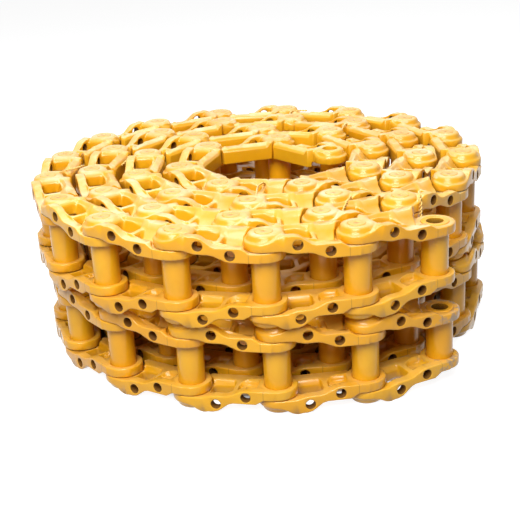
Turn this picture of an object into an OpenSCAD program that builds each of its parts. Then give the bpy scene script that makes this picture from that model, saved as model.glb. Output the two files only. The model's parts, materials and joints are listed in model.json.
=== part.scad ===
// Two excavator track chains without shoes, each rolled up on its side, one roll on the other.
// A chain is a row of forged link pairs. In each pair a bushing is pressed into the near eyes
// and a pin into the far eyes, and that pin turns inside the next pair's bushing.
// The rolls lie on the floor, z = 0, with the middle of their outline at the origin.

/* [Chain] */
// Distance between neighbouring joints
pitch = 190; // [170:1:215]
// Link pairs in each chain
link_sets = 46; // [42:1:50]
// Joint radius at the innermost eye of the roll
core_r = 163; // [155:1:200]
// Room between one wrap's rail and the eyes of the wrap inside it
wrap_gap = 3.5; // [2:0.5:12]
// How far the lower roll is out of line, towards +X
lower_shift_x = 14; // [0:1:20]
// How far the lower roll is out of line, towards +Y
lower_shift_y = 14; // [0:1:20]
// Room between the pins of the upper roll and the pins that they stand on
stack_gap = 0.3; // [0.2:0.1:1]

/* [Pins, bushings and seals] */
// Pin diameter
pin_d = 36.5; // [32:0.5:40]
// Chamfer on each pin end
pin_chamfer = 2.5; // [1:0.5:4]
// How far a pin stands out of its boss
pin_proud = 0.5; // [0.2:0.1:2]
// Running clearance round the pin in the bushing
pin_run = 0.08; // [0.03:0.01:0.1]
// Bushing diameter
bush_d = 58.7; // [52:0.1:64]
// How far a bushing stands out of its eye
bush_proud = 0.6; // [0.2:0.1:0.8]
// Seal ring diameter
seal_d = 54; // [46:0.5:56]
// Seal ring height
seal_t = 6; // [4:0.5:8]
// Ring of room between the seal and the pin
seal_room = 1.5; // [1:0.5:3]

/* [Link eyes] */
// Clear width between the two links of a pair, at their bushing eyes
inner_width = 92; // [80:1:110]
// Thickness of the bushing eye
bush_eye_t = 21; // [18:0.5:26]
// Gap between the bushing eye and the pin eye that turns on it
joint_gap = 1.2; // [1:0.1:2]
// Radius of both eyes
eye_r = 43; // [40:0.5:45]
// Height of the pin eye's outer rim
pin_rim_t = 18; // [14:0.5:22]
// Height of the sloped shoulder between rim and boss
shoulder_t = 4.5; // [3:0.5:8]
// Height of the boss round the pin end
boss_t = 10.5; // [8:0.5:16]
// Radius of that boss at its top
boss_r = 28; // [26:0.5:31]
// How much wider the boss is at its foot
boss_flare = 3.5; // [2:0.5:6]
// Width of the concave foot between boss and rim
foot_w = 5; // [3:0.5:6]
// Chamfer on the boss and on the rim
boss_chamfer = 2.5; // [1:0.5:3]

/* [Link body] */
// Height of the shoe face over the joint line
shoe_h = 45; // [43:0.5:48]
// Height of the rail over the joint line
rail_h = 49; // [46:0.5:54]
// Thickness of the strap that carries the shoe
strap_t = 21.5; // [20:0.5:26]
// Width of the strap
strap_w = 31; // [28:0.5:36]
// How far the strap hangs below the pin eye where the far bolt goes through
far_sag = 7; // [4:0.5:10]
// Thickness of the rail
rail_t = 33; // [30:0.5:38]
// Width of the face that the rollers run on
rail_w = 36; // [32:0.5:40]
// Chamfer between that face and the rail's flat outer side
rail_edge = 4; // [2:0.5:5]
// Width of the slope from the flat side down to the web
rail_slope = 14; // [10:0.5:20]
// Diameter of the shoe bolt holes
hole_d = 20.5; // [16:0.5:22]
// Distance between the two shoe bolt holes of a link
hole_pitch = 66; // [60:1:70]
// Distance from the bushing to the top of the strap's ramp
ramp_x = 40; // [36:0.5:44]
// Length of that ramp
ramp_len = 16; // [10:0.5:20]
// Thickness of the rib between the two windows
rib_t = 11; // [8:0.5:16]
// Corner radius of the large window
window_r = 7; // [4:0.5:10]
// Room kept round an eye for the neighbouring link to turn
swing_gap = 1.5; // [1:0.1:3]

/* [Hidden] */
// Link pairs at the outer end of each chain that swing open one after another
tail_sets = 4;
// The link, counted from the outer end, that the roll is turned to set parallel to X
square_link = 10;
// Extra angle kept between the rails of neighbouring links at the sharpest bend
rail_room = 1.5;
// Straight pieces in each curved ramp
ramp_steps = 4;
// Overlap between the forms that are one forging
forge = 2;
// Overshoot of cuts
over = 1;
// Halvings in the search for the angle of one link
halvings = 40;
paint = "#f2b234";
bare = "#e0a02c";
seal_grey = "#5a4a30";
$fn = 72;

// Heights over the middle plane of a chain
z_in = inner_width / 2;
z_eye = z_in + bush_eye_t;
z_bush = z_eye + bush_proud;
z_pin = z_eye + joint_gap;
z_rim = z_pin + pin_rim_t;
z_shoulder = z_rim + shoulder_t;
z_boss = z_shoulder + boss_t;
half_w = z_boss + pin_proud;
z_shelf = z_in + strap_w;
z_hump = z_pin + strap_w;
z_sag = z_pin - far_sag;
rail_mid = (z_in + z_hump) / 2;
rail_low = rail_mid - rail_w / 2;
rail_high = rail_low + rail_w + rail_edge;

// Places along the link, from the bushing axis to the pin axis
mid_x = pitch / 2;
hole_near_x = mid_x - hole_pitch / 2;
hole_far_x = mid_x + hole_pitch / 2;
swing_r = max(eye_r, shoe_h) + swing_gap;
strap_in = shoe_h - strap_t;
rail_in = rail_h - rail_t;
rib_x = mid_x - rib_t;
window_x = pitch - eye_r;

// Joint radii and angles of one roll, from the innermost eye outwards
function growth(r) = rail_h + eye_r + wrap_gap + pitch * pitch / (8 * (r + rail_h + eye_r));
function next_r(r, turn) = r + growth(r) * turn / 360;
function reach(r, turn) =
    let (q = next_r(r, turn)) sqrt(r * r + q * q - 2 * r * q * cos(turn));
function link_turn(r, low = 0, high = 120, left = halvings) =
    let (mid = (low + high) / 2)
    left == 0 ? mid
    : reach(r, mid) < pitch ? link_turn(r, mid, high, left - 1)
    : link_turn(r, low, mid, left - 1);
function wind(r, angle, left) =
    let (turn = link_turn(r))
    left == 0 ? [[r, angle]] : concat([[r, angle]], wind(next_r(r, turn), angle + turn, left - 1));
wound = wind(core_r, 0, link_sets);

// Joints counted from the free outer end, before and after the roll is turned square
function polar(p) = p[0] * [cos(p[1]), sin(p[1])];
function turned(p, a) = [p.x * cos(a) - p.y * sin(a), p.x * sin(a) + p.y * cos(a)];
function heading(a, b) = atan2(b.y - a.y, b.x - a.x);
raw = [for (k = [0:link_sets]) polar(wound[link_sets - k])];
square_turn = -heading(raw[square_link], raw[square_link + 1]);
spun = [for (p = raw) turned(p, square_turn)];
course = [for (k = [0:link_sets - 1]) heading(spun[k], spun[k + 1])];

// The sharpest bend is at the innermost joint and sets how far the rails are cut back
bend_max = link_turn(core_r) / 2 + link_turn(next_r(core_r, link_turn(core_r))) / 2;
rail_cut = tan(bend_max / 2 + rail_room);

// Outline of one roll, and the middle of both rolls together
corners = [for (k = [0:link_sets - 1], x = [0, pitch]) spun[k] + turned([x, shoe_h], course[k])];
low_x = min(min([for (p = spun) p.x - eye_r]), min([for (p = corners) p.x]));
high_x = max(max([for (p = spun) p.x + eye_r]), max([for (p = corners) p.x]));
low_y = min(min([for (p = spun) p.y - eye_r]), min([for (p = corners) p.y]));
high_y = max(max([for (p = spun) p.y + eye_r]), max([for (p = corners) p.y]));
middle = [low_x + high_x + lower_shift_x, low_y + high_y + lower_shift_y] / 2;
joints = [for (p = spun) p - middle];

tiers = ["upper", "lower"];
tier_z = [3 * half_w + stack_gap, half_w];
tier_shift = [[0, 0], [lower_shift_x, lower_shift_y]];
roll_kinds = ["top_links", "bottom_links", "bushings", "pins", "seals"];
tail_kinds = ["top_link", "bottom_link", "bushing", "pin", "seals"];
end_kinds = ["top_link", "bottom_link", "bushing"];
last_set = link_sets - 1;

// A height that eases from one level to another between two places along the link
function eased(x0, z0, x1, z1) =
    [for (i = [0:ramp_steps]) let (t = i / ramp_steps)
        [x0 + (x1 - x0) * t, z0 + (z1 - z0) * (1 - cos(180 * t)) / 2]];

// The strap seen from the shoe side: a band that climbs from the bushing eye to the pin eye
module strap_profile() {
    polygon(concat(
        [[0, z_eye], [0, z_in]],
        eased(hole_near_x, z_in, hole_far_x - hole_d, z_sag),
        [[hole_far_x + hole_d / 4, z_sag], [pitch - 2 * eye_r / 3, z_pin]],
        [[pitch, z_pin], [pitch, z_rim]],
        [[pitch - eye_r / 3, z_rim], [pitch - 3 * eye_r / 4, z_hump]],
        eased(hole_far_x + hole_d / 4, z_hump, mid_x - hole_d / 4, z_shelf),
        [[ramp_x, z_shelf], [ramp_x - ramp_len, z_eye]]
    ));
}

// The web between strap and rail, seen the same way
module web_profile() {
    polygon(concat(
        [[0, z_eye], [0, z_in]],
        [[hole_near_x, z_in], [hole_far_x, z_pin], [pitch, z_pin], [pitch, z_rim]],
        [[hole_far_x, rail_high - forge], [hole_near_x, z_shelf]],
        [[ramp_x, z_shelf], [ramp_x - ramp_len, z_eye]]
    ));
}

module web_plan() {
    edge = rail_in + forge;
    top = strap_in + forge;
    difference() {
        polygon([[0, 0], [edge * rail_cut, -edge], [pitch - edge * rail_cut, -edge], [pitch, 0],
                 [pitch, top], [0, top]]);
        far_window();
        near_window();
    }
}

// The large window by the pin eye, where the far bolt's nut sits
module far_window() {
    rounded([rib_x + rib_t, -rail_in], [window_x, strap_in], window_r);
}

// The small three-cornered window by the bushing eye, where the near bolt's nut sits
module near_window() {
    polygon([[ramp_x + ramp_len / 2, strap_in], [rib_x, strap_in], [rib_x, 0]]);
}

// A rectangle between two corners, with round corners of its own
module rounded(a, b, r) {
    translate([a.x + r, a.y]) square([b.x - a.x - 2 * r, b.y - a.y]);
    translate([a.x, a.y + r]) square([b.x - a.x, b.y - a.y - 2 * r]);
    for (x = [a.x + r, b.x - r], y = [a.y + r, b.y - r]) translate([x, y]) circle(r);
}

module across(y0, y1) {
    translate([0, y1, 0]) rotate([90, 0, 0]) linear_extrude(y1 - y0) children();
}

// The strap runs into the side of the pin eye
module strap() {
    intersection() {
        across(strap_in, shoe_h) strap_profile();
        linear_extrude(z_boss)
            polygon([[0, strap_in], [pitch, strap_in], [pitch, eye_r], [pitch - eye_r, shoe_h], [0, shoe_h]]);
    }
}

module web() {
    intersection() {
        linear_extrude(z_boss) web_plan();
        across(-rail_h, shoe_h) web_profile();
    }
}

// The rail's cross-section: a flat side that slopes down to the web
module rail_profile() {
    polygon([[-rail_h, rail_low], [-rail_h, rail_low + rail_w], [rail_edge - rail_h, rail_high],
             [-rail_in - rail_slope, rail_high], [-rail_in, (z_shelf + rail_high) / 2], [-rail_in, rail_low]]);
}

module rail() {
    intersection() {
        translate([0, 0, rail_low - over]) linear_extrude(rail_w + rail_edge + 2 * over)
            polygon([[0, 0], [rail_h * rail_cut, -rail_h], [pitch - rail_h * rail_cut, -rail_h], [pitch, 0]]);
        rotate([90, 0, 90]) linear_extrude(pitch) rail_profile();
    }
}

module bush_eye() {
    translate([0, 0, z_in]) cylinder(r = eye_r, h = bush_eye_t);
}

// Rim, sloped shoulder and raised boss of the pin eye
module pin_eye() {
    translate([pitch, 0, 0]) rotate_extrude()
        polygon([[0, z_pin], [eye_r, z_pin], [eye_r, z_rim - boss_chamfer], [eye_r - boss_chamfer, z_rim],
                 [boss_r + boss_flare + foot_w, z_rim + shoulder_t / 4], [boss_r + boss_flare, z_shoulder],
                 [boss_r, z_boss - boss_chamfer], [boss_r - boss_chamfer, z_boss], [0, z_boss]]);
}

// Room for the neighbouring links to turn on the two eyes
module swing_room() {
    translate([0, 0, z_eye]) cylinder(r = swing_r, h = z_boss);
    translate([pitch, 0, z_pin - z_boss]) cylinder(r = swing_r, h = z_boss);
}

module link_holes() {
    translate([0, 0, z_in - over]) cylinder(d = bush_d, h = bush_eye_t + 2 * over);
    translate([pitch, 0, z_pin - over]) cylinder(d = pin_d, h = half_w);
    translate([pitch, 0, z_pin - over]) cylinder(d = seal_d, h = seal_t + over);
    translate([hole_near_x, 0, z_in + strap_w / 2]) bolt_hole();
    translate([hole_far_x, 0, (z_sag + z_hump) / 2]) bolt_hole();
}

module bolt_hole() {
    translate([0, strap_in - over, 0]) rotate([-90, 0, 0]) cylinder(d = hole_d, h = strap_t + 2 * over);
}

module link() {
    difference() {
        union() {
            difference() {
                union() {
                    strap();
                    web();
                    rail();
                }
                swing_room();
            }
            bush_eye();
            pin_eye();
        }
        link_holes();
    }
}

module bushing() {
    difference() {
        cylinder(d = bush_d, h = 2 * z_bush, center = true);
        cylinder(d = pin_d + 2 * pin_run, h = 2 * z_bush + 2 * over, center = true);
    }
}

module pin() {
    r = pin_d / 2;
    translate([pitch, 0, 0]) rotate_extrude()
        polygon([[0, -half_w], [r - pin_chamfer, -half_w], [r, pin_chamfer - half_w],
                 [r, half_w - pin_chamfer], [r - pin_chamfer, half_w], [0, half_w]]);
}

module seal() {
    inner = pin_d / 2 + seal_room;
    translate([pitch, 0, z_pin]) rotate_extrude()
        translate([inner, 0]) square([seal_d / 2 - inner, seal_t]);
}

// One piece of a link pair, in the pair's own place on the chain
module piece(kind) {
    if (kind == "top_link" || kind == "top_links") color(paint) link();
    if (kind == "bottom_link" || kind == "bottom_links") color(paint) mirror([0, 0, 1]) link();
    if (kind == "bushing" || kind == "bushings") color(bare) bushing();
    if (kind == "pin" || kind == "pins") color(bare) pin();
    if (kind == "seals") color(seal_grey) {
        seal();
        mirror([0, 0, 1]) seal();
    }
}

module on_chain(t, set) {
    place = joints[set] + tier_shift[t];
    translate([place.x, place.y, tier_z[t]]) rotate([0, 0, course[set]]) children();
}

// The part of a chain that stays in the roll: all but the swinging tail and the innermost pair
module roll(t, kind) {
    for (set = [tail_sets:last_set - 1]) on_chain(t, set) piece(kind);
}

for (t = [0, 1]) {
    for (kind = roll_kinds)
        roll(t, kind);
    for (s = [1:tail_sets], kind = tail_kinds)
        on_chain(t, s - 1) piece(kind);
    for (kind = end_kinds)
        on_chain(t, last_set) piece(kind);
}
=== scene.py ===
import json
import math
import bpy
import numpy as np
from mathutils import Matrix, Vector


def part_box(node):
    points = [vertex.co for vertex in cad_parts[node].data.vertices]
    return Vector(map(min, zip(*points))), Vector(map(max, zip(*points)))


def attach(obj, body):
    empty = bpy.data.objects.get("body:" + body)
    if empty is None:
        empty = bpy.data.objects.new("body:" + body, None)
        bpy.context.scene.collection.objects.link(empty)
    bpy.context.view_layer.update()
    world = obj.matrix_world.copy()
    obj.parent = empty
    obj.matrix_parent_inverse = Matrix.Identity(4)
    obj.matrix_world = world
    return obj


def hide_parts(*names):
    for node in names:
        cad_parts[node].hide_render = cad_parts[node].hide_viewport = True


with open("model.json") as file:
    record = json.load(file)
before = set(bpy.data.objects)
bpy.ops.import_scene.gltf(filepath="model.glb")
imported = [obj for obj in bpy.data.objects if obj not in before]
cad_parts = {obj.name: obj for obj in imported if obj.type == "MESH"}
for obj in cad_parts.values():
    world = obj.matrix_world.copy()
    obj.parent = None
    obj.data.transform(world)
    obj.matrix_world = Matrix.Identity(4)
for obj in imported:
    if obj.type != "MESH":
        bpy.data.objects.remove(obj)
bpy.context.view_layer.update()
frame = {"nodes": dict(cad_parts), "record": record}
scene = bpy.context.scene
record = frame["record"]
rng = np.random.default_rng(46)  # draws the tone of every single piece
print("frame loaded:", len(frame["nodes"]), "nodes")

# sizes that place the links, in metres and degrees, the same as the solids have
chain = dict(
    pitch=0.190, linkSets=46, tailSets=4, squareLink=10,
    coreRadius=0.163, wrapGap=0.0035, railHeight=0.049, eyeRadius=0.043,
    widestTurn=120, halvings=48,
)
tiers = ("upper", "lower")
mounts = {m["name"]: m for m in record["mounts"]}


# each joint lies one pitch from the last on a spiral that grows by a rail, an eye and the sag of one chord
def windRoll(c):
    def grown(r, turn):
        sag = c["pitch"] ** 2 / (8 * (r + c["railHeight"] + c["eyeRadius"]))
        return r + (c["railHeight"] + c["eyeRadius"] + c["wrapGap"] + sag) * turn / (2 * math.pi)

    def reach(r, turn):
        q = grown(r, turn)
        return math.sqrt(r * r + q * q - 2 * r * q * math.cos(turn))

    r, angle = c["coreRadius"], 0.0
    points = [(r, 0.0)]
    for _ in range(c["linkSets"]):
        low, high = 0.0, math.radians(c["widestTurn"])
        for _ in range(c["halvings"]):
            mid = (low + high) / 2
            low, high = (mid, high) if reach(r, mid) < c["pitch"] else (low, mid)
        r, angle = grown(r, low), angle + low
        points.append((r * math.cos(angle), r * math.sin(angle)))
    spot = np.array(points[::-1])
    step = spot[c["squareLink"] + 1] - spot[c["squareLink"]]
    turn = -math.atan2(step[1], step[0])  # the square link comes to lie along X
    return spot @ turnBy(turn).T


def turnBy(a):
    return np.array([[math.cos(a), -math.sin(a)], [math.sin(a), math.cos(a)]])


joints = windRoll(chain)
steps = np.diff(joints, axis=0)
course = np.arctan2(steps[:, 1], steps[:, 0])
tierOrigin = {t: np.array(mounts[t + "_master_pin_bore"]["pos_m"]) for t in tiers}  # the free bushing
print("roll wound:", len(course), "link pairs")


# verts of one piece carried from its own frame to link pair k of a tier
def onChain(verts, tier, k):
    out = verts.copy()
    out[:, :2] = verts[:, :2] @ turnBy(course[k]).T + (joints[k] - joints[0]) + tierOrigin[tier][:2]
    out[:, 2] += tierOrigin[tier][2]
    return out


def addPiece(name, verts, faces, material, marks=None):
    mesh = bpy.data.meshes.new(name)
    mesh.from_pydata(verts, [], faces)
    mesh.polygons.foreach_set("use_smooth", np.ones(len(mesh.polygons), bool))
    for mark, values in (marks or {}).items():
        mesh.attributes.new(mark, "FLOAT", "POINT").data.foreach_set("value", values.astype(np.float32))
    mesh.materials.append(material)
    mesh.update()
    piece = bpy.data.objects.new(name, mesh)
    scene.collection.objects.link(piece)
    return piece


# materials

# a number, a colour or another node's socket put into each named input
def setInputs(node, values):
    for key, given in values.items():
        socket = node.inputs[key]
        if isinstance(given, bpy.types.NodeSocket):
            node.id_data.links.new(given, socket)
        elif socket.type == "RGBA":
            socket.default_value = (*given, 1.0)
        else:
            socket.default_value = given


def nodeMaker(tree):
    def make(kind, inputs=None, **settings):
        node = tree.nodes.new(kind)
        for key, value in settings.items():
            setattr(node, key, value)
        setInputs(node, inputs or {})
        return node
    return make


def combined(make, a, b, operation="MULTIPLY"):
    return make("ShaderNodeMath", {0: a, 1: b}, operation=operation).outputs[0]


# a value carried from one span to another and held to its ends
def ramp(make, value, span=(0.0, 1.0), ends=(0.0, 1.0)):
    limits = {"From Min": span[0], "From Max": span[1], "To Min": ends[0], "To Max": ends[1]}
    return make("ShaderNodeMapRange", {"Value": value} | limits).outputs["Result"]


def mixColour(make, factor, under, over):
    mix = make("ShaderNodeMix", {"Factor": factor, 6: under, 7: over}, data_type="RGBA")
    return mix.outputs[2]  # sockets 6, 7 and 2 are the colours


def objectNoise(make, scale, detail, roughness):
    place = make("ShaderNodeTexCoord").outputs["Object"]
    inputs = {"Vector": place, "Scale": scale, "Detail": detail, "Roughness": roughness}
    return make("ShaderNodeTexNoise", inputs).outputs["Fac"]


def markOf(make, name):
    return make("ShaderNodeAttribute", attribute_name=name).outputs["Fac"]


def newGroup(name, sockets, results):
    group = bpy.data.node_groups.new(name, "ShaderNodeTree")
    for label, value in sockets.items():
        socket = group.interface.new_socket(label, in_out="INPUT", socket_type="NodeSocketFloat")
        socket.default_value = value
    for label in results:
        group.interface.new_socket(label, in_out="OUTPUT", socket_type="NodeSocketFloat")
    make = nodeMaker(group)
    return group, make, make("NodeGroupInput").outputs, make("NodeGroupOutput")


grainLook = dict(
    sockets={"Peel": 620.0, "Wave": 38.0}, peelNoise=(2.0, 0.5), waveNoise=(4.0, 0.6),  # detail, roughness
    waveHeight=2.5, blotch=(0.35, 0.68),
)


# fine orange peel on top of the slow waves of a forged skin, as a height and a blotch mask
def grainGroup(s):
    group, make, given, result = newGroup("paintGrain", s["sockets"], ("Height", "Blotch"))
    peel = objectNoise(make, given["Peel"], *s["peelNoise"])
    wave = objectNoise(make, given["Wave"], *s["waveNoise"])
    height = combined(make, peel, combined(make, wave, s["waveHeight"]), "ADD")
    setInputs(result, {"Height": height, "Blotch": ramp(make, wave, s["blotch"])})
    return group


edgeLook = dict(
    sockets={"Radius": 0.003, "Break": 90.0}, samples=4, bend=(0.995, 0.90),
    noise=(5.0, 0.65), patches=(0.42, 0.62),
)


# painted highlight: a mask of outer edges, where the rounded normal leaves the true one, broken up by noise
def edgeGroup(s):
    group, make, given, result = newGroup("edgeRub", s["sockets"], ("Mask",))
    bevel = make("ShaderNodeBevel", {"Radius": given["Radius"]}, samples=s["samples"])
    surface = make("ShaderNodeNewGeometry")
    normals = {0: bevel.outputs["Normal"], 1: surface.outputs["Normal"]}
    likeness = make("ShaderNodeVectorMath", normals, operation="DOT_PRODUCT")
    edge = ramp(make, likeness.outputs["Value"], s["bend"])
    patchy = ramp(make, objectNoise(make, given["Break"], *s["noise"]), s["patches"])
    setInputs(result, {"Mask": combined(make, edge, patchy)})
    return group


dustAndSheenLook = dict(
    sockets={"Patch": 14.0, "Amount": 0.3, "Shelter": 0.36}, facing=(0.55, 1.0),
    noise=(6.0, 0.62), patches=(0.30, 0.75), shelterFade=(-0.03, 0.01), sheltered=0.25,
)


# pale dust that settles on faces turned up, and a painted sheen on the lit tops: thicker in patches and on
# top of the stack than in its shelter
def dustAndSheenGroup(s):
    group, make, given, result = newGroup("restingDust", s["sockets"], ("Mask",))
    normal = make("ShaderNodeSeparateXYZ", {"Vector": make("ShaderNodeNewGeometry").outputs["Normal"]})
    facing = ramp(make, normal.outputs["Z"], s["facing"])
    patchy = ramp(make, objectNoise(make, given["Patch"], *s["noise"]), s["patches"])
    place = make("ShaderNodeSeparateXYZ", {"Vector": make("ShaderNodeTexCoord").outputs["Object"]})
    above = combined(make, place.outputs["Z"], given["Shelter"], "SUBTRACT")
    bare = ramp(make, above, s["shelterFade"], (s["sheltered"], 1.0))
    settled = combined(make, combined(make, facing, patchy), bare)
    setInputs(result, {"Mask": combined(make, settled, given["Amount"])})
    return group


recessShadeLook = dict(sockets={"Reach": 0.02}, samples=6, openness=(0.75, 0.30))


# painted shade: a mask of holes and crevices, where the piece's own walls close a spot in
def recessShadeGroup(s):
    group, make, given, result = newGroup("recessGrime", s["sockets"], ("Mask",))
    reach = {"Distance": given["Reach"]}
    openness = make("ShaderNodeAmbientOcclusion", reach, samples=s["samples"], only_local=True)
    setInputs(result, {"Mask": ramp(make, openness.outputs["AO"], s["openness"])})
    return group


scuffLook = dict(sockets={"Tear": 55.0, "Few": 0.55, "Many": 0.465}, noise=(8.0, 0.72), fade=0.10)


# scuffs down to primer, in fine torn patches, as many as the piece's own wear calls for
def scuffGroup(s):
    group, make, given, result = newGroup("handlingScuffs", s["sockets"], ("Mask",))
    wear = markOf(make, "pieceWear")
    start = ramp(make, wear, ends=(given["Few"], given["Many"]))
    end = combined(make, start, s["fade"], "ADD")
    torn = ramp(make, objectNoise(make, given["Tear"], *s["noise"]), (start, end))
    setInputs(result, {"Mask": combined(make, torn, wear)})
    return group


padLook = dict(sockets={"End": 0.0235, "Width": 0.0011, "Face": 0.0410})


# a thin line of painted shade across the strap, where its flat pad stops short of the bushing eye
def padGroup(s):
    group, make, given, result = newGroup("padEnd", s["sockets"], ("Mask",))
    line = {0: markOf(make, "linkAlong"), 1: given["End"], 2: given["Width"]}
    close = make("ShaderNodeMath", line, operation="COMPARE").outputs[0]
    onFace = combined(make, markOf(make, "linkAcross"), given["Face"], "GREATER_THAN")
    setInputs(result, {"Mask": combined(make, close, onFace)})
    return group


holeLook = dict(sockets={"Wall": 0.0107, "Rim": 0.0116, "Strap": 0.0225}, along=dict(near=0.062, far=0.128))


# a mask of the walls of the two bolt holes, which take painted shade: in the strap, and no farther from a
# hole's axis than its rim
def holeGroup(s):
    group, make, given, result = newGroup("boltHoles", s["sockets"], ("Mask",))
    inStrap = combined(make, markOf(make, "linkAcross"), given["Strap"], "GREATER_THAN")
    spot = make("ShaderNodeCombineXYZ", {"X": markOf(make, "linkAlong"), "Y": markOf(make, "linkHeight")})
    away = []
    for name, along in s["along"].items():
        height = mounts["upper_shoe_bolts_" + name]["dims"]["spacing_y_mm"] / 2000  # half the spacing
        ends = {0: spot.outputs["Vector"], 1: (along, height, 0.0)}
        away.append(make("ShaderNodeVectorMath", ends, operation="DISTANCE").outputs["Value"])
    nearest = combined(make, *away, "MINIMUM")
    setInputs(result, {"Mask": ramp(make, nearest, (given["Rim"], given["Wall"]), (0.0, inStrap))})
    return group


groups = dict(
    grain=grainGroup(grainLook), edge=edgeGroup(edgeLook), dust=dustAndSheenGroup(dustAndSheenLook),
    grime=recessShadeGroup(recessShadeLook), scuff=scuffGroup(scuffLook), pad=padGroup(padLook),
    hole=holeGroup(holeLook),
)


def placed(make, kind, values=None):
    return make("ShaderNodeGroup", values, node_tree=groups[kind]).outputs


def newMaterial(name):
    material = bpy.data.materials.new(name)
    material.use_nodes = True
    tree = material.node_tree
    return material, nodeMaker(tree), tree.nodes["Principled BSDF"]


# the edge colour is a painted highlight, the dust colour also paints sheen on the lit tops, and the dark
# brown paints shade into recesses, bolt holes and the pad's end
paint = dict(
    deep=(0.720, 0.322, 0.004), light=(0.750, 0.390, 0.011), warm=(0.700, 0.296, 0.003),
    rub=(0.820, 0.560, 0.140), dust=(0.680, 0.692, 0.455), grime=(0.085, 0.026, 0.003),
    primer=(0.330, 0.235, 0.150),
    blotchShare=0.35, rubShare=0.60, dustAmount=0.90, padShare=0.28, edgeRadius=0.003,
    grimeShare=0.90, creviceShare=0.5, grimeReach=0.025, grimeRoughness=0.95,
    peel=620.0, wave=38.0, bump=0.30, bumpDepth=0.0004, roughness=(0.30, 0.44),
    specular=0.25, coat=0.45, coatRoughness=0.16,
)


# satin yellow paint: two tones by piece, a third by blotch, painted highlights on the edges, dust with a
# painted sheen, painted shade in recesses, bolt holes and along the pad's end, and scuffs
def paintMaterial(name, s):
    material, make, shader = newMaterial(name)
    grain = placed(make, "grain", {"Peel": s["peel"], "Wave": s["wave"]})
    edge = placed(make, "edge", {"Radius": s["edgeRadius"]})["Mask"]
    dust = placed(make, "dust", {"Amount": s["dustAmount"]})["Mask"]
    # painted shade: crevices and bolt-hole walls are darkened towards the shade brown, rougher and without
    # coat
    crevice = combined(make, placed(make, "grime", {"Reach": s["grimeReach"]})["Mask"], s["creviceShare"])
    recess = combined(make, crevice, placed(make, "hole")["Mask"], "MAXIMUM")
    grime = combined(make, recess, s["grimeShare"])
    layers = (  # each lies over the ones before it
        (combined(make, grain["Blotch"], s["blotchShare"]), s["warm"]),
        (combined(make, edge, s["rubShare"]), s["rub"]),
        (dust, s["dust"]),
        (grime, s["grime"]),
        (placed(make, "scuff")["Mask"], s["primer"]),
        (combined(make, placed(make, "pad")["Mask"], s["padShare"]), s["grime"]),
    )
    colour = mixColour(make, markOf(make, "pieceTone"), s["deep"], s["light"])
    for mask, over in layers:
        colour = mixColour(make, mask, colour, over)
    clean = combined(make, ramp(make, grain["Blotch"], ends=s["roughness"]), dust, "ADD")
    skin = {"Height": grain["Height"], "Strength": s["bump"], "Distance": s["bumpDepth"]}
    setInputs(shader, {
        "Base Color": colour,
        "Roughness": ramp(make, grime, ends=(clean, s["grimeRoughness"])),
        "Coat Weight": ramp(make, grime, ends=(s["coat"], 0.0)),
        "Normal": make("ShaderNodeBump", skin).outputs["Normal"],
        "Specular IOR Level": s["specular"],
        "Coat Roughness": s["coatRoughness"],
    })
    return material


rubber = dict(dark=(0.020, 0.018, 0.015), pale=(0.045, 0.038, 0.028), roughness=(0.55, 0.75))


def rubberMaterial(name, s):
    material, make, shader = newMaterial(name)
    blotch = placed(make, "grain")["Blotch"]
    setInputs(shader, {
        "Base Color": mixColour(make, blotch, s["dark"], s["pale"]),
        "Roughness": ramp(make, blotch, ends=s["roughness"]),
    })
    return material


materials = dict(
    link=paintMaterial("linkPaint", paint),
    # the bushing's bore takes painted shade from a wider reach and in full
    bushing=paintMaterial("bushingPaint", paint | dict(
        bump=0.2, wave=22.0, dustAmount=0.15, grimeReach=0.080, grimeShare=1.0, creviceShare=1.0)),
    pin=paintMaterial("pinPaint", paint | dict(light=(0.775, 0.400, 0.040), dustAmount=0.45)),
    wire=paintMaterial("wirePaint", paint | dict(deep=(0.790, 0.540, 0.130), grimeShare=0.3)),
    seal=rubberMaterial("sealRubber", rubber),
)
print("materials made:", ", ".join(materials))

# forged links: the solid's own link, remeshed and smoothed so that all its edges and corners are rounded

forging = dict(voxel=0.0016, smoothing=0.5, passes=10, triangles=4800)
boss = dict(
    ledge=0.0842, fade=0.005, top=0.1012, crown=0.0025, crownFrom=0.026, crownFade=0.006,
    plainRadii=(0.0, 0.01825, 0.0220, 0.0255, 0.0280, 0.0315, 0.0365, 0.0405, 0.0430),
    swollenRadii=(0.0, 0.01825, 0.0240, 0.0305, 0.0332, 0.0355, 0.0385, 0.0412, 0.0430),
)
pocket = dict(
    along=(0.041, 0.047, 0.080, 0.086), mid=0.0615, shelf=0.077, inner=0.046, innerDepth=0.016,
    slopeAcross=(-0.045, -0.025, 0.001, 0.0235), slopeHeights=(0.0946, 0.0940, 0.0645, 0.0640),
    centre=0.004, reach=0.0205, steepness=2.8, roundFrom=0.066, roundReach=0.021,
)
opened = dict(
    along=(0.094, 0.099, 0.144, 0.149), across=(-0.038, -0.019, -0.010, -0.004),
    innerLean=0.6, outerLean=0.30, mid=0.0700, plain=0.003, most=0.015,
)
head = dict(
    along=(0.146, 0.154), foot=0.078, rim=0.0862, top=0.1012, high=0.0985, fallFrom=0.148, fallTo=0.206,
)
rail = dict(
    across=(-0.049, -0.044, -0.030, -0.026, -0.012), lifts=(-0.006, -0.002, 0.0042, 0.0042, 0.0),
    foot=0.080, crest=0.0946, most=0.0967,
)


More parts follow.
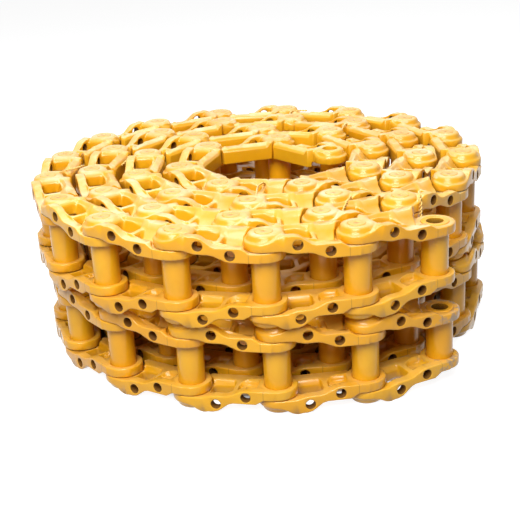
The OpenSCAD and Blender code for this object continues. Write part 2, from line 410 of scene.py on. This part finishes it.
# the boss swells nearly to the rim of the eye and rounds over: above the ledge a radius r becomes f(r)
def swellBoss(verts, s):
    dx, dy, z = verts[:, 0] - chain["pitch"], verts[:, 1], verts[:, 2]
    r = np.hypot(dx, dy)
    swollen = np.where(r < s["plainRadii"][-1], np.interp(r, s["plainRadii"], s["swollenRadii"]), r)
    above = np.clip((z - s["ledge"]) / s["fade"], 0, 1)
    grown = r + above * (swollen - r)
    outward = grown / np.maximum(r, 1e-6)
    nearTop = np.clip((z - s["top"]) / s["crownFade"] + 1, 0, 1)
    over = np.clip((grown - s["crownFrom"]) / (s["swollenRadii"][4] - s["crownFrom"]), 0, 1)
    over *= r < s["plainRadii"][5]
    crowned = z - s["crown"] * nearTop * over ** 2
    return np.stack([chain["pitch"] + dx * outward, dy * outward, crowned], axis=-1)


# the strap and rail run up into the boss: of the heights foot, rim and top only rim moves, to h, and h
# falls from high back to rim along the link as 3t^2 - 2t^3
def raiseHead(verts, s):
    x, y, z = verts.T
    t = np.clip((x - s["fallFrom"]) / (s["fallTo"] - s["fallFrom"]), 0, 1)
    h = s["high"] + (s["rim"] - s["high"]) * t * t * (3 - 2 * t)
    share = np.interp(x, s["along"], (0, 1))
    low = np.clip((z - s["foot"]) / (s["rim"] - s["foot"]), 0, 1)
    near = np.clip((s["top"] - z) / (s["top"] - s["rim"]), 0, 1)
    return np.stack([x, y, z + share * (h - s["rim"]) * np.minimum(low, near)], axis=-1)


# the rail's top slopes up from the running face to its crest: z + f(y) times its share of the height
def raiseRail(verts, s):
    x, y, z = verts.T
    share = np.clip((z - s["foot"]) / (s["crest"] - s["foot"]), 0, 1) * (z < s["most"])
    return np.stack([x, y, z + np.interp(y, s["across"], s["lifts"]) * share], axis=-1)


# 0 outside the first and last mark, 1 between the inner two, straight in between
def within(values, marks):
    return np.interp(values, marks, (0, 1, 1, 0))


# round the small window the outer face becomes a slope from the rail down to the window, z = f(y), and the
# inner face a dish, z + depth * steepness (1 - q^2 - p^2) held to depth, with q the offset from the middle
# over the reach and p the same along the link, past the start of its round end
def pressPocket(verts, s):
    x, y, z = verts.T
    share = within(x, s["along"])
    slope = np.interp(y, s["slopeAcross"], s["slopeHeights"])
    up = np.clip((z - s["mid"]) / (s["shelf"] - s["mid"]), 0, 1)
    outer = np.where(z > s["shelf"], slope - z, (slope - s["shelf"]) * up)
    outer *= (y > s["slopeAcross"][0]) & (y < s["slopeAcross"][-1])
    q = (y - s["centre"]) / s["reach"]
    down = np.clip((s["mid"] - z) / (s["mid"] - s["inner"]), 0, 1)
    p = np.maximum(x - s["roundFrom"], 0) / s["roundReach"]
    inner = down * s["innerDepth"] * np.clip(s["steepness"] * (1 - q ** 2 - p ** 2), 0, 1)
    return np.stack([x, y, z + share * (outer + inner)], axis=-1)


# the rail's wall in the large window leans back, most on the inner side: y - lean |z - mid|
def openWindow(verts, s):
    x, y, z = verts.T
    share = within(x, s["along"]) * within(y, s["across"])
    off = np.clip(np.abs(z - s["mid"]) - s["plain"], 0, s["most"])
    lean = np.where(z < s["mid"], s["innerLean"], s["outerLean"])
    return np.stack([x, y - share * lean * off, z], axis=-1)


def meshArrays(mesh):
    mesh.calc_loop_triangles()
    verts = np.empty(len(mesh.vertices) * 3)
    mesh.vertices.foreach_get("co", verts)
    tris = np.empty(len(mesh.loop_triangles) * 3, int)
    mesh.loop_triangles.foreach_get("vertices", tris)
    return verts.reshape(-1, 3), tris.reshape(-1, 3)


def blankObject(name, verts, faces):
    mesh = bpy.data.meshes.new(name)
    mesh.from_pydata(verts, [], faces)
    blank = bpy.data.objects.new(name, mesh)
    scene.collection.objects.link(blank)
    return blank


def bakedArrays(blank):
    bpy.context.view_layer.update()
    arrays = meshArrays(blank.evaluated_get(bpy.context.evaluated_depsgraph_get()).to_mesh())
    bpy.data.objects.remove(blank)
    return arrays


def forgedLink(s):
    verts, faces = meshArrays(frame["nodes"]["upper_tail1_top_link"].data)
    local = verts - tierOrigin["upper"]
    local[:, :2] = local[:, :2] @ turnBy(-course[0]).T
    spots, index = np.unique(np.round(local, 6), axis=0, return_inverse=True)  # loose triangles joined up
    rough = blankObject("linkBlank", spots, index.reshape(-1)[faces])
    remesh = rough.modifiers.new("voxels", "REMESH")
    remesh.mode = "VOXEL"
    remesh.voxel_size = s["voxel"]
    smooth = rough.modifiers.new("rounding", "SMOOTH")
    smooth.factor = s["smoothing"]
    smooth.iterations = s["passes"]
    fineVerts, fineFaces = bakedArrays(rough)
    pressed = openWindow(pressPocket(raiseRail(fineVerts, rail), pocket), opened)
    shaped = raiseHead(swellBoss(pressed, boss), head)
    fine = blankObject("linkFine", shaped, fineFaces)
    thin = fine.modifiers.new("thinning", "DECIMATE")
    thin.ratio = s["triangles"] / len(fineFaces)
    return bakedArrays(fine)


linkVerts, linkFaces = forgedLink(forging)
print("link forged:", len(linkFaces), "triangles")


# a closed profile of radius and height turned round an axis at x: x + r cos a, r sin a, z
def turnedRing(profile, x=0.0, sides=56):
    profile = np.array(profile)
    angle = np.linspace(0, 2 * math.pi, sides, endpoint=False)
    verts = np.stack([
        x + np.outer(np.cos(angle), profile[:, 0]),
        np.outer(np.sin(angle), profile[:, 0]),
        np.broadcast_to(profile[:, 1], (sides, len(profile))),
    ], axis=-1).reshape(-1, 3)
    n = len(profile)
    i, j = np.meshgrid(np.arange(sides), np.arange(n), indexing="ij")
    k, m = (i + 1) % sides, (j + 1) % n
    faces = np.stack([i * n + j, k * n + j, k * n + m, i * n + m], axis=-1).reshape(-1, 4)
    return verts, faces


# a rounded corner of a profile: points of an arc between two directions
def arc(r, z, radius, start, end, count=4):
    a = np.radians(np.linspace(start, end, count))
    return [(r + radius * math.cos(t), z + radius * math.sin(t)) for t in a]


bore = mounts["upper_master_pin_bore"]["dims"]
bushingSize = dict(radius=0.02935, bore=bore["r_mm"] / 1000, half=bore["length_mm"] / 2000, round=0.0012)
pinSize = dict(
    radius=mounts["upper_inner_pin_eyes"]["dims"]["r_mm"] / 1000,
    half=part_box("upper_tail1_pin")[1][2] - tierOrigin["upper"][2],
    core=0.0004, dome=0.0004, domeMid=(0.55, 0.3),  # the end is crowned a little
    chamfer=0.0010, chamferMid=(0.35, 0.6), chamferEnd=1.4,
)


def bushingShape(s):
    r, b, h, q = s["radius"], s["bore"], s["half"], s["round"]
    return turnedRing(
        arc(r - q, -h + q, q, -90, 0) + arc(r - q, h - q, q, 0, 90)
        + arc(b + q, h - q, q, 90, 180) + arc(b + q, -h + q, q, 180, 270))


def pinShape(s):
    r, h, c, dome = s["radius"], s["half"], s["chamfer"], s["dome"]
    end = [  # radius, and depth below the end
        (s["core"], 0.0), (r * s["domeMid"][0], dome * s["domeMid"][1]), (r - c, dome),
        (r - c * s["chamferMid"][0], c * s["chamferMid"][1]), (r, c * s["chamferEnd"]),
    ]
    below = [(q, -h + depth) for q, depth in end]
    above = [(q, h - depth) for q, depth in reversed(end)]
    return turnedRing(below + above, x=chain["pitch"])


bushingVerts, bushingFaces = bushingShape(bushingSize)
pinVerts, pinFaces = pinShape(pinSize)
mirrored = np.array([1.0, 1.0, -1.0])
shapes = dict(
    top_link=(linkVerts, linkFaces, "link"),
    bottom_link=(linkVerts * mirrored, linkFaces[:, ::-1], "link"),
    bushing=(bushingVerts, bushingFaces, "bushing"),
    pin=(pinVerts, pinFaces, "pin"),
)
wear = dict(
    plain=0.05, upper={0: 0.25}, lower={0: 0.85, 1: 0.20},  # by link pair from the free end
    start=0.070, length=0.060,  # scuffs begin here along the link and thicken towards its bushing
)


# one piece of the scene for each node: the same shape set down at every link pair that the node holds
def dressNode(node, tier, kind, pairs, body):
    verts, faces, finish = shapes[kind]
    allVerts = np.concatenate([onChain(verts, tier, k) for k in pairs])
    allFaces = np.concatenate([faces + i * len(verts) for i in range(len(pairs))])
    marks = dict(pieceTone=np.repeat(rng.uniform(0, 1, len(pairs)), len(verts)))
    if finish == "link":
        towardsEnd = np.clip((wear["start"] - verts[:, 0]) / wear["length"], 0, 1)
        worn = [wear["plain"] + wear[tier].get(k, 0) * towardsEnd for k in pairs]
        marks["pieceWear"] = np.concatenate(worn)
        marks["linkAlong"] = np.tile(verts[:, 0], len(pairs))
        marks["linkAcross"] = np.tile(verts[:, 1], len(pairs))
        marks["linkHeight"] = np.tile(np.abs(verts[:, 2]), len(pairs))
    piece = addPiece(node + "_dressed", allVerts, allFaces, materials[finish], marks)
    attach(piece, body)
    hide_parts(node)


lastPair = chain["linkSets"] - 1
rollPairs = range(chain["tailSets"], lastPair)
for tier in tiers:
    for kind in shapes:
        dressNode(f"{tier}_roll_{kind}s", tier, kind, rollPairs, tier + "_roll")
        for s in range(1, chain["tailSets"] + 1):
            dressNode(f"{tier}_tail{s}_{kind}", tier, kind, [s - 1], f"{tier}_tail{s}")
        if kind != "pin":
            dressNode(f"{tier}_inner_end_{kind}", tier, kind, [lastPair], tier + "_roll")
for name, node in frame["nodes"].items():
    if name.endswith("_seals"):
        node.data.materials.clear()
        node.data.materials.append(materials["seal"])
print("nodes dressed")

# tie wires, left twisted round the wraps of the upper roll and painted over with it

ties = dict(
    strand=0.0013, twist=0.0015, turnEvery=0.016, sides=8, steps=14, highest=0.0987, cutEnd=0.1,
    aside=(0.31, 0.17, 0.93),  # a direction that no wire runs in
)
thickTies = dict(hanging=dict(strand=0.0020, twist=0.0022, highest=0.0975))
tiePaths = dict(
    frontMiddle=[(-0.025, -0.347, 0.078), (-0.018, -0.300, 0.098), (-0.011, -0.230, 0.0985),
                 (0.000, -0.202, 0.099), (0.013, -0.157, 0.080)],
    frontRight=[(0.157, -0.406, 0.080), (0.175, -0.370, 0.098), (0.184, -0.348, 0.099),
                (0.196, -0.281, 0.080)],
    leftOuter=[(-0.500, 0.045, 0.080), (-0.468, 0.012, 0.098), (-0.436, 0.031, 0.099),
               (-0.433, 0.055, 0.092)],
    leftInner=[(-0.342, 0.067, 0.085), (-0.318, 0.088, 0.098), (-0.287, 0.108, 0.099),
               (-0.272, 0.094, 0.085)],
    backMiddle=[(0.109, 0.387, 0.085), (0.109, 0.455, 0.098), (0.124, 0.480, 0.0985),
                (0.160, 0.474, 0.0988)],
    backRight=[(0.216, 0.208, 0.085), (0.247, 0.288, 0.099), (0.266, 0.289, 0.090)],
    hanging=[(0.338, -0.330, 0.0965), (0.3335, -0.360, 0.0975), (0.3305, -0.380, 0.0965),
             (0.331, -0.3848, 0.086), (0.331, -0.3848, 0.060), (0.332, -0.384, 0.030)],
)


# a smooth curve through the points, each span half of 2b + (c-a)f + (2a-5b+4c-d)f^2 + (3b-a-3c+d)f^3
def smoothPath(points, steps):
    p = np.array(points)
    q = np.concatenate([2 * p[:1] - p[1:2], p, 2 * p[-1:] - p[-2:-1]])
    t = np.linspace(0, len(p) - 1, (len(p) - 1) * steps + 1)
    i = np.minimum(t.astype(int), len(p) - 2)
    f = (t - i)[:, None]
    a, b, c, d = q[i], q[i + 1], q[i + 2], q[i + 3]
    square = 2 * a - 5 * b + 4 * c - d
    cube = 3 * b - a - 3 * c + d
    return 0.5 * (2 * b + (c - a) * f + square * f ** 2 + cube * f ** 3)


# two directions square to a path at each of its points, and to each other
def acrossPath(path, aside):
    along = np.gradient(path, axis=0)
    along /= np.linalg.norm(along, axis=1)[:, None]
    side = np.cross(along, aside)
    side /= np.linalg.norm(side, axis=1)[:, None]
    return side, np.cross(along, side)


# two strands round one path: centre = path + twist (cos u side + sin u up), and the wall of a strand is its
# centre + r (cos v side + sin v up)
def tieShape(points, s):
    path = smoothPath(points, s["steps"])
    path[:, 2] = np.minimum(path[:, 2], s["highest"])  # pressed flat on the links
    side, up = acrossPath(path, s["aside"])
    length = np.concatenate([[0], np.cumsum(np.linalg.norm(np.diff(path, axis=0), axis=1))])
    v = np.linspace(0, 2 * math.pi, s["sides"], endpoint=False)
    r = np.full(len(path), s["strand"])
    r[[0, -1]] = s["strand"] * s["cutEnd"]
    n, m = len(path), s["sides"]
    i, j = np.meshgrid(np.arange(n - 1), np.arange(m), indexing="ij")
    here, there, k = i * m, (i + 1) * m, (j + 1) % m
    quads = np.stack([here + j, here + k, there + k, there + j], axis=-1).reshape(-1, 4)
    verts = []
    for phase in (0, math.pi):
        u = 2 * math.pi * length / s["turnEvery"] + phase
        centre = path + s["twist"] * (np.cos(u)[:, None] * side + np.sin(u)[:, None] * up)
        ring = np.cos(v)[None, :, None] * side[:, None] + np.sin(v)[None, :, None] * up[:, None]
        verts.append((centre[:, None] + r[:, None, None] * ring).reshape(-1, 3))
    return np.concatenate(verts), np.concatenate([quads, quads + n * m])


for name, points in tiePaths.items():
    tieVerts, tieFaces = tieShape(points, ties | thickTies.get(name, {}))
    tieVerts[:, 2] += tierOrigin["upper"][2]
    tie = addPiece("tieWire_" + name, tieVerts, tieFaces, materials["wire"])
    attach(tie, "upper_roll")
print("tie wires:", len(tiePaths))

# floor, light and camera

studio = dict(
    floorSize=14.0, floorGlow=0.92, floorColour=(0.32, 0.32, 0.32), floorRoughness=0.9,
    white=(1.0, 1.0, 1.0), ambient=0.025,
    shadeFade=(0.45, 0.50),  # the floor inside the roll keeps its shade
)
lamps = dict(
    front=dict(power=226.0, size=2.6, place=(-0.7, -2.65, 3.05)),
    top=dict(power=80.0, size=2.6, place=(0.1, 1.1, 3.4)),
)
photoView = dict(
    azimuth=-1.34, elevation=21.0, roll=-3.12, distance=2.8227, target=(-0.0097, 0.0, 0.1394),
    focalPixels=1113.0, imagePixels=520.0, sensor=36.0,
)


# rays that the camera or a shiny surface sends out see white, all others see a plain level of light
def seenDirectly(make):
    rays = make("ShaderNodeLightPath").outputs
    shown = combined(make, rays["Is Camera Ray"], rays["Is Glossy Ray"], "MAXIMUM")
    return combined(make, shown, rays["Is Transmission Ray"], "MAXIMUM")


def makeWorld(s):
    world = bpy.data.worlds.new("studioWorld")
    scene.world = world
    world.use_nodes = True
    make = nodeMaker(world.node_tree)
    level = ramp(make, seenDirectly(make), ends=(s["ambient"], 1.0))
    setInputs(world.node_tree.nodes["Background"], {"Color": s["white"], "Strength": level})


def makeFloor(s):
    half = s["floorSize"] / 2
    corners = np.array([(-half, -half, 0), (half, -half, 0), (half, half, 0), (-half, half, 0)])
    material, make, shader = newMaterial("paleFloor")
    spot = {0: make("ShaderNodeTexCoord").outputs["Object"]}
    away = make("ShaderNodeVectorMath", spot, operation="LENGTH").outputs["Value"]
    lit = ramp(make, away, s["shadeFade"], (0.0, s["floorGlow"]))
    setInputs(shader, {
        "Base Color": s["floorColour"],
        "Roughness": s["floorRoughness"],
        "Specular IOR Level": 0.0,
        "Emission Color": s["white"],
        "Emission Strength": combined(make, seenDirectly(make), lit),
    })
    floor = addPiece("floor", corners, np.array([(0, 1, 2, 3)]), material)


def areaLight(name, power, size, place, aim=(0.0, 0.0, 0.2)):
    light = bpy.data.lights.new(name, "AREA")
    light.energy = power
    light.shape = "DISK"
    light.size = size
    lamp = bpy.data.objects.new(name, light)
    lamp.location = place
    lamp.rotation_euler = (Vector(aim) - Vector(place)).to_track_quat("-Z", "Y").to_euler()
    scene.collection.objects.link(lamp)


def makeCamera(v):
    turn, rise, roll = (math.radians(v[k]) for k in ("azimuth", "elevation", "roll"))
    level = math.cos(rise)
    back = Vector((math.sin(turn) * level, -math.cos(turn) * level, math.sin(rise)))
    right = Vector((math.cos(turn), math.sin(turn), 0.0))
    up = back.cross(right)
    rolledRight = right * math.cos(roll) + up * math.sin(roll)
    rolledUp = up * math.cos(roll) - right * math.sin(roll)
    camera = bpy.data.cameras.new("photoCamera")
    camera.sensor_width = v["sensor"]
    camera.lens = v["focalPixels"] / v["imagePixels"] * v["sensor"]
    holder = bpy.data.objects.new("photoCamera", camera)
    place = Vector(v["target"]) + back * v["distance"]
    axes = Matrix((rolledRight, rolledUp, back)).transposed()
    holder.matrix_world = Matrix.Translation(place) @ axes.to_4x4()
    scene.collection.objects.link(holder)
    scene.camera = holder


makeWorld(studio)
makeFloor(studio)
for name, lamp in lamps.items():
    areaLight(name + "Light", **lamp)
makeCamera(photoView)
scene.view_settings.view_transform = "Standard"
print("studio set")
